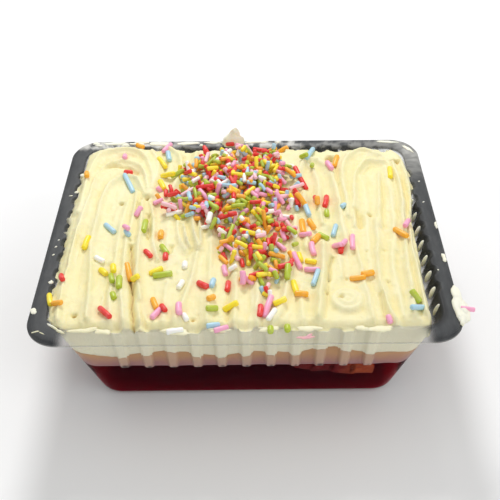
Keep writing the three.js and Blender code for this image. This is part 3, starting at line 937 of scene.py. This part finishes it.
# Smears on the flange: x, y, half length, half width, half height, direction in degrees.
FLANGE_SMEARS = [
    (-62.8, -52.8, 3.2, 0.45, 0.5, -38),
    (-60.6, -54.6, 1.6, 0.5, 0.5, -25),
    (-68.6, -54.6, 1.5, 0.25, 0.25, 20),
    (-66.4, -55.2, 1.2, 0.2, 0.25, -30),
    (-71.0, -45.0, 1.1, 1.5, 0.4, 20),
    (-67.6, -30.5, 0.8, 0.9, 0.4, 0),
    (-66.0, 34.0, 0.9, 1.1, 0.5, 0),
    (-66.6, 22.4, 0.9, 0.6, 0.4, 30),
    (-68.6, 20.0, 0.8, 0.3, 0.3, 10),
    (-55.0, 57.2, 5.0, 1.0, 0.5, 2),
    (-44.0, 58.0, 3.0, 0.8, 0.5, 0),
    (-36.0, 56.5, 4.4, 1.5, 0.6, -4),
    (-25.0, 57.0, 5.0, 1.2, 0.4, 3),
    (-14.0, 57.5, 3.6, 0.9, 0.4, 0),
    (5.0, 57.6, 5.0, 0.8, 0.4, 0),
    (60.5, 57.0, 4.6, 0.8, 0.35, -8),
    (68.6, 51.5, 3.2, 0.8, 0.35, -55),
    (71.3, -19.5, 0.8, 2.5, 0.6, 0),
    (71.5, -0.5, 0.6, 2.0, 0.5, 0),
]


def dab(middle, half, turn, seed, tilt=0.0, rough=1.0):
    """A lumpy flattened dab of cream: half lengths along, across and up, turned in degrees."""
    angle = np.linspace(0, 2 * math.pi, 36, endpoint=False)
    cos, sin = np.cos(angle), np.sin(angle)
    wavy = 0.28 * noise(1.3 * cos + seed, 1.3 * sin, seed)
    wavy = 1 + rough * (wavy + 0.13 * noise(3.4 * cos, 3.4 * sin + seed, seed + 1))
    spin = Matrix.Rotation(math.radians(turn), 3, "Z") @ Matrix.Rotation(math.radians(tilt), 3, "Y")
    rings = []
    for up in np.cos(np.linspace(math.pi * 0.97, math.pi * 0.03, 9)):
        wide = math.sqrt(1 - up**2) * wavy
        flat = np.column_stack([half[0] * wide * cos, half[1] * wide * sin])
        local = raised(flat, half[2] * up)
        rings.append(local @ np.array(spin.transposed()) + middle)
    return loft(rings)


def make_cream(name, skin, material, node=None, thin=0.8, pink=0.0):
    count = len(skin[0])
    colours = {"thin": np.zeros(count) + thin, "pink": np.zeros(count) + pink}
    make_piece(name, skin, material, node, colours)


def build_lumps(material):
    """The flat lump of cream on the right of the flange and the pointed one at the back."""
    low, high = box_of("cream_smear")
    middle, half = (low + high) / 2, (high - low) / 2
    x, y, top = middle[0], middle[1], low[2] - 0.1
    parts = [
        dab((x + 0.7, y - 2.2, top), (half[0] * 0.86, half[1] * 0.80, 1.1), 4, 71, rough=0.6),
        dab((x + 0.5, y + 4.6, top), (half[0] * 0.50, half[1] * 0.62, 0.8), 5, 72, rough=0.9),
        dab((x + 1.2, y - 2.4, top + 0.5), (half[0] * 0.45, half[1] * 0.5, 0.9), 6, 73, rough=0.9),
        dab((x + 0.4, y - 7.4, top), (half[0] * 0.5, half[1] * 0.3, 0.9), -20, 75, rough=0.9),
    ]
    make_cream("smear_lump", joined(parts), material, "cream_smear")

    low, high = box_of("cream_peak")
    middle, half = (low + high) / 2, (high - low) / 2
    angle = np.linspace(0, 2 * math.pi, 48, endpoint=False)
    rings = []
    for up in np.linspace(0, 1, 26):
        wide = 1.04 * (1 - up**2.0) ** 0.8 * (1 - 0.2 * math.exp(-(((up - 0.62) / 0.14) ** 2)))
        folds = 1 + 0.13 * np.sin(2 * angle + 1.2 + 2.5 * up) + 0.07 * np.sin(5 * angle + 5 * up)
        x = middle[0] + half[0] * (wide * folds * np.cos(angle) + 0.4 * up**2 - 0.1)
        y = middle[1] + half[1] * wide * folds * np.sin(angle)
        z = low[2] - 0.3 + (high[2] - low[2] + 0.3) * up
        rough = 0.22 * noise(x / 1.1, y / 1.1 + z / 1.1, 74)
        rings.append(np.column_stack([x + rough, y + rough, 0 * x + z]))
    make_cream("peak_lump", loft(rings), material, "cream_peak")


def build_smears(material):
    """Thin smears and specks of cream on the flange, and wall dabs beside the gap, partly painted
    highlight.
    """
    top = HEIGHT + 0.05
    parts = []
    for k, (x, y, long, wide, high, turn) in enumerate(FLANGE_SMEARS):
        parts.append(dab((x, y, top), (long, wide, high), turn, 3 * k))
    for k, (x, y, long, wide, turn) in enumerate(FRONT_FLAPS):
        parts.append(dab((x, y, top + 0.2), (long, wide, 0.5), turn, 170 + 3 * k, rough=1.7))
    for k, (x, y, long, wide, high, turn) in enumerate(PINK_SMEARS):
        parts.append(dab((x, y, top), (long, wide, high), turn, 199 + 2 * k, rough=1.5))
    for k in range(14):
        x, y = random.uniform(-69, 20), random.uniform(55.2, 58.4)
        parts.append(dab((x, y, top), (random.uniform(0.6, 2.4), 0.6, 0.35), 0, 100 + k))
    for k in range(7):
        x, y = random.choice([-1, 1]) * random.uniform(67.5, 71.5), random.uniform(-54, 50)
        parts.append(dab((x, y, top), (random.uniform(0.2, 0.6), 0.3, 0.2), 40, 130 + k))
    # Pale dabs on the right wall: partly cream left there, partly painted highlight for glints on
    # its flutes.
    lean = math.degrees(math.atan(DRAFT))
    level = HEIGHT - 3.4
    for k in range(8):
        middle = (between(BASE[0], RIM[0], level), (2 - k) * PITCH + PITCH / 2 - 4.4, level)
        parts.append(dab(middle, (0.6, random.uniform(0.6, 1.0), 2.8), 0, 150 + k, lean, 1.6))
    skin = joined(parts)
    x, y = skin[0].T[:2]
    pink_x, pink_y, reach = PINK_SMEARS[0][:3]
    pink = (np.hypot(x - pink_x, y - pink_y) < reach + 1) * (y < -56.5)
    thin = np.where(pink, 0, np.where(y < -52.5, 0.3, 0.85))
    make_cream("cream_smears", skin, material, thin=thin, pink=1.0 * pink)


# ---------------- sugar strands
# Strands that lie apart from the heap, by colour: x, y, direction in degrees, length.
LOOSE = {
    "blue": [
        (-46.5, 26.5, 112, 12.5), (-50.5, -2, 130, 6.5), (-43.3, -6.6, 120, 3.6),
        (33, -4.5, 75, 6.5), (57.2, -47.3, 25, 5.5), (26.8, 46, 72, 11), (37.4, 9, 60, 3.4),
        (23.4, 6.5, 100, 7), (24.3, -31.5, 72, 8), (-11.3, -34, 80, 4), (-10.6, -53, 10, 4.5),
        (-32, 46, 100, 6),
    ],
    "red": [
        (-47.5, 34.4, 170, 3.4), (-35, -17, 125, 4.5), (-28.6, -19, 90, 3), (-63.3, -31, 110, 4),
        (-46.6, -47.8, 128, 7), (-27.4, -45.4, 120, 3.6), (-14.6, -34.2, 135, 5),
        (-6.2, -33.8, 85, 5), (4.8, -47.6, 85, 5), (22, 28, 110, 12.5), (27.3, 13.5, 100, 5.5),
        (31, 13.5, 80, 7), (14, -26.5, 20, 5.5), (-16.5, 53, 115, 6), (34.5, -16, 80, 3.5),
    ],
    "green": [
        (-37.6, -1.5, 88, 7), (-29.3, -15, 118, 5.5), (-46.3, -31, 105, 4.5), (-43.4, -33.4, 95, 6),
        (-44.8, -39.5, 110, 3), (-29, -28.2, 5, 6.5), (-11.2, -46.2, 20, 4), (8.1, -55.2, 90, 2.6),
        (13.6, -54.6, 90, 2.6), (57.3, -42, 125, 4.5), (24, 42, 150, 3.5), (27, 36.2, 80, 3),
        (31, 6.2, 90, 3.2), (28.7, -7.6, 140, 4.5), (14.6, -30, 85, 6),
    ],
    "yellow": [
        (-57.7, -11.5, 80, 6), (-50, -26, 130, 4), (-46.4, -26, 100, 3.6), (-38, -31.7, 0, 2.8),
        (-31.5, -25.8, 30, 5), (-5, -44.6, 15, 5), (11.5, -43.4, 20, 4.5), (17, -35.5, 100, 6.5),
        (19.3, -19.8, 100, 4), (23.2, -22, 160, 4), (58.3, 32, 85, 7.5), (-66.2, -40, 105, 6),
        (-34.3, 41, 120, 7), (-31, 30, 150, 6.5), (-33, 24.5, 110, 6.5),
    ],
    "orange": [
        (-31.2, -6, 90, 4), (-41, -26.5, 105, 8), (-30.6, -42.5, 110, 5.5), (-62.8, -44, 160, 4),
        (-63.4, 30, 100, 3.6), (19, -39.6, 175, 4.5), (39, -31, 170, 5.5), (42.6, -29.2, 20, 4.5),
        (57, -8.2, 125, 7), (37.2, 41.5, 75, 6.5), (21.4, -2, 92, 8), (24.6, -1.8, 115, 4.5),
        (25.8, -9.4, 60, 5), (21.2, 11.2, 130, 5.5), (27.5, 11, 90, 3), (-44.6, 54.6, 150, 4),
        (15.8, 52.2, 5, 4.5), (-23.2, 38.2, 100, 4), (-11.6, -41.6, 40, 3),
    ],
    "pink": [
        (-40.6, 6.5, 60, 4), (-43.8, -5.6, 130, 3.4), (-29.6, -47, 60, 6), (-22, -47, 95, 4.6),
        (-7.3, -26, 100, 5), (-1, -33, 90, 4), (7.6, -45.5, 75, 9), (-8, -54.6, 20, 5),
        (39, -12, 85, 8), (60, -2.6, 68, 6.5), (34, 35.2, 110, 5), (22, -8, 160, 4.5),
        (24.3, -15.6, 95, 6.5), (18.2, -22.4, 110, 7), (23.4, -26.6, 165, 5.5),
        (47.3, -51.3, 100, 3), (-33, 52, 65, 7), (-50, 44.8, 95, 4.5), (33.2, -14.5, 140, 4),
        (35.6, -14, 60, 3.6),
    ],
    "white": [
        (-52, -20, 150, 4), (-20, -49.2, 120, 3), (-21.5, -23, 90, 3), (-22.5, -33, 70, 4),
        (-23, -55.4, 10, 5.5), (8.6, -50, 60, 5.5), (-13.4, -2, 80, 4.5),
    ],
}
STUCK = [  # on the lumps of cream: ends, with heights above the flange
    ("pink", (72.6, -46.4, 0.9), (75.9, -46.9, 0.7)),
    ("red", (-7.4, 54.2, 1.4), (-5.6, 53.6, 1.7)),
]
STRAND_SHARES = {
    "red": 0.21,
    "green": 0.18,
    "pink": 0.10,
    "orange": 0.14,
    "yellow": 0.14,
    "blue": 0.09,
    "rose": 0.07,
    "white": 0.07,
}
HEAP_COUNT = 700
HEAP_LOOSE = 4.0  # above this height over the cream, the strands sink into one another
HEAP_PACKING = 0.6
HEAP_TIPPED = 0.3  # share of the strands that have one end pushed down into the heap
HEAP_THICK, LOOSE_THICK = 0.93, 1.16  # radii, as shares of a strand's own
MOST_SLOPE = 0.8


class Ground:
    """A height map over the tub that grows as strands are laid on it."""

    def __init__(self):
        inside = wall_distance(MAP_X, MAP_Y) > 0.2
        self.height = np.where(inside, CREAM_HEIGHT, HEIGHT)

    def settle(self, middle, angle, length):
        """Lays a strand down and returns its two ends' centres."""
        reach = (length / 2 - STRAND_RADIUS) * np.array([math.cos(angle), math.sin(angle)])
        start, end = middle - reach, middle + reach
        part = patch_round([start, end], STRAND_RADIUS + CELL)
        x, y, height = MAP_X[part], MAP_Y[part], self.height[part]
        along = end - start
        share = ((x - start[0]) * along[0] + (y - start[1]) * along[1]) / (along @ along)
        share = np.clip(share, 0, 1)
        off = np.hypot(x - start[0] - along[0] * share, y - start[1] - along[1] * share)
        bulge = np.sqrt(np.maximum(STRAND_RADIUS**2 - off**2, 0))
        under = off < STRAND_RADIUS * 0.75
        halves = [under & (share < 0.5), under & (share >= 0.5)]
        if not all(half.any() for half in halves):
            return None
        loose = CREAM_HEIGHT[part].mean() + HEAP_LOOSE
        levels = [np.percentile((height + bulge)[half], 75) for half in halves]
        first, second = (min(level, loose + HEAP_PACKING * (level - loose)) for level in levels)
        limit = MOST_SLOPE * np.linalg.norm(along)
        if abs(first - second) > limit:
            first, second = (max(first, second - limit), max(second, first - limit))
        top = first + (second - first) * share + bulge
        self.height[part] = np.where(off < STRAND_RADIUS, np.maximum(height, top), height)
        return np.array([[*start, first], [*end, second]])


def heap_places():
    """Where the strands of the heap fall: thick in the middle, thinner to the sides and front."""
    ys = [-41, -34, -24, -14, -4, 4, 15, 28, 40, 51]
    left = [3, 1, -5, -9, -14, -26, -33, -29, -20, -13]
    right = [9, 12, 15, 17, 17, 17, 18, 18, 16, 14]
    thick = [0.25, 0.4, 0.5, 0.6, 0.8, 1, 1, 1, 0.7, 0.35]
    places = []
    while len(places) < HEAP_COUNT:
        x, y = random.uniform(-36, 21), random.uniform(-41, 51)
        low, high = np.interp(y, ys, left), np.interp(y, ys, right)
        off = abs(2 * (x - low) / (high - low) - 1)
        chance = np.interp(y, ys, thick) * np.interp(off, [0, 0.55, 0.9, 1.2], [1, 0.85, 0.45, 0])
        if random.random() < chance:
            places.append(np.array([x, y]))
    return places


def strand_rings(ends, radius, bend):
    """One sugar strand: a short rod with round ends and a slight bend."""
    axis = Vector(ends[1] - ends[0])
    length = axis.length
    across = axis.to_track_quat("Z", "Y").to_matrix()
    middle = Vector((ends[0] + ends[1]) / 2)
    end = [(0.95, 0.55), (0.82, 0.86), (0.45, 1.0)]
    profile = [(-length / 2 - far * radius, wide * radius) for far, wide in end]
    profile += [(0.0, radius)]
    profile += [(length / 2 + far * radius, wide * radius) for far, wide in end[::-1]]
    rings = []
    for along, wide in profile:
        sway = bend * (1 - (2 * along / (length + 2 * radius)) ** 2)
        ring = []
        for angle in np.linspace(0, 2 * math.pi, 10, endpoint=False):
            local = Vector((wide * math.cos(angle) + sway, wide * math.sin(angle), along))
            ring.append(middle + across @ local)
        rings.append(np.array(ring))
    return rings


def lay_heap(ground, laid):
    names = list(STRAND_SHARES)
    shares = np.array(list(STRAND_SHARES.values()))
    for place in heap_places():
        name = names[random.choice(len(names), p=shares / shares.sum())]
        length = float(np.clip(random.gamma(9, 0.46), 2.4, 8))
        ends = ground.settle(place, random.uniform(0, math.pi), length)
        if ends is not None:
            if random.random() < HEAP_TIPPED:
                ends[0, 2] -= random.uniform(0.2, 0.9) * length
            laid[name].append((ends, HEAP_THICK))


def lay_loose(ground, laid):
    """Lays the loose strands and returns the stains they leave."""
    stains = {name: [] for name in STAINS}
    for name, rows in LOOSE.items():
        for x, y, angle, length in rows:
            ends = ground.settle(np.array([x, y]), math.radians(angle), length)
            if ends is None:
                continue
            ends[:, 2] -= 0.3
            laid[name].append((ends, LOOSE_THICK))
            if name in ("red", "pink") and random.random() < 0.6:
                stains["red"].append((x, y, 2.0, 0.28))
            if name in ("orange", "yellow") and random.random() < 0.5:
                stains["orange"].append((x, y, 2.0, 0.35))
    return stains


def build_strands():
    """Lays every strand and joins those of one colour. Returns the stains they leave."""
    ground = Ground()
    laid = {name: [] for name in STRANDS}
    lay_heap(ground, laid)
    stains = lay_loose(ground, laid)
    for name, start, end in STUCK:
        laid[name].append((np.array([start, end]) + [0, 0, HEIGHT], 1.0))
    for name, rows in laid.items():
        parts = []
        for ends, thick in rows:
            radius = STRAND_RADIUS * thick * random.uniform(0.9, 1.1)
            parts.append(loft(strand_rings(ends, radius, random.normal(0, 0.12))))
        make_piece("strands_" + name, joined(parts), strand_material(name))
    return stains


# ---------------- sponge sunk in the jelly
SPONGE = ((41.0, 13.4, 4.3), (34.0, 14.4, 4.8), (27.0, 15.6, 4.4), (20.6, 17.2, 3.6))


def build_sponge(material):
    """Soaked sponge against the front wall, just under the jelly's top, in chunks that each have
    a middle, a lower edge and a half width."""
    parts = []
    angle = np.linspace(0, 2 * math.pi, 40, endpoint=False)
    squared = [np.sign(v) * np.abs(v) ** 0.5 for v in (np.cos(angle), np.sin(angle))]
    for middle, low, half in SPONGE:
        rings = []
        for up in np.linspace(0, 1, 15):
            z = low + (JELLY_TOP - 0.1 - low) * up + 0 * angle
            wide = (1 - abs(2 * up - 1) ** 6) ** 0.5 + 0.02
            ragged = 1 + 0.12 * noise(angle * 1.6 + middle, z / 1.4, 81)
            x = middle + half * wide * ragged * squared[0]
            z = z + 1.1 * noise(x / 2.3, 0 * x, 82) * (1 - up)
            front = -between(BASE[1], RIM[1], z) - SINK
            y = np.maximum(front + 1.8 + 3.0 * wide * squared[1], front)
            rings.append(np.column_stack([x, y, z]))
        parts.append(loft(rings))
    make_piece("sunk_sponge", joined(parts), material)


# ---------------- stage, light and camera
FLOOR_HALF = 3.0  # metres
FLOOR_DROP = 0.0002


def build_stage():
    made = Material("pale_floor", {"Roughness": 0.7})
    tone = made.ramp(made.noise(3, 2), (0.3, (0.86, 0.86, 0.86)), (0.7, (0.9, 0.9, 0.9)))
    made.drive("Base Color", tone)
    mesh = bpy.data.meshes.new("floor")
    signs = [(-1, -1), (1, -1), (1, 1), (-1, 1)]
    corners = [(FLOOR_HALF * x, FLOOR_HALF * y, 0) for x, y in signs]
    mesh.from_pydata(corners, [], [(0, 1, 2, 3)])
    mesh.materials.append(made.data)
    floor = bpy.data.objects.new("floor", mesh)
    floor.location.z = -FLOOR_DROP
    bpy.context.collection.objects.link(floor)


WORLD = 0.62
KEY = ((-0.05, 0.38, 0.52), 0.18, 2.2)  # place, size, power
FILL = ((0.50, -0.40, 0.45), 0.6, 1.5)
LIT = (0, 0, 0.04)  # what the lamps point at


def area_light(name, place, size, power):
    """A round lamp that points at the cream; places in metres."""
    data = bpy.data.lights.new(name, "AREA")
    data.shape = "DISK"
    data.size = size
    data.energy = power
    lamp = bpy.data.objects.new(name, data)
    lamp.location = place
    towards = Vector(LIT) - Vector(place)
    lamp.rotation_euler = towards.to_track_quat("-Z", "Y").to_euler()
    bpy.context.collection.objects.link(lamp)


def build_lights():
    world = bpy.data.worlds.new("studio")
    world.use_nodes = True
    background = world.node_tree.nodes["Background"]
    background.inputs["Color"].default_value = (1, 1, 1, 1)
    background.inputs["Strength"].default_value = WORLD
    bpy.context.scene.world = world
    area_light("key", *KEY)
    area_light("fill", *FILL)


# The camera was fitted to the flange, the base and the flutes of the photo.
LENS, SENSOR, SHIFT = 61.57, 36, -0.024
LOOKED_AT = (0.00595, -0.01409, HEIGHT * MM)
TILT, TURN, DISTANCE = math.radians(40.0), math.radians(-0.85), 0.3106


def build_camera():
    data = bpy.data.cameras.new("camera")
    data.lens = LENS
    data.sensor_width = SENSOR
    data.shift_x = SHIFT
    data.clip_start = 0.01
    camera = bpy.data.objects.new("camera", data)
    back = (math.sin(TURN) * math.cos(TILT), -math.cos(TURN) * math.cos(TILT), math.sin(TILT))
    back = Vector(back)
    camera.location = Vector(LOOKED_AT) + back * DISTANCE
    camera.rotation_euler = (-back).to_track_quat("-Z", "Y").to_euler()
    bpy.context.collection.objects.link(camera)
    bpy.context.scene.camera = camera


def main():
    cream = cream_material()
    stains = build_strands()
    build_cream(cream, stains)
    build_custard(custard_material())
    build_jelly(jelly_material())
    build_sponge(sponge_material())
    build_lumps(cream)
    build_smears(cream)
    build_tub(plastic_material())
    build_stage()
    build_lights()
    build_camera()
    bpy.context.scene.view_settings.view_transform = "Standard"


main()
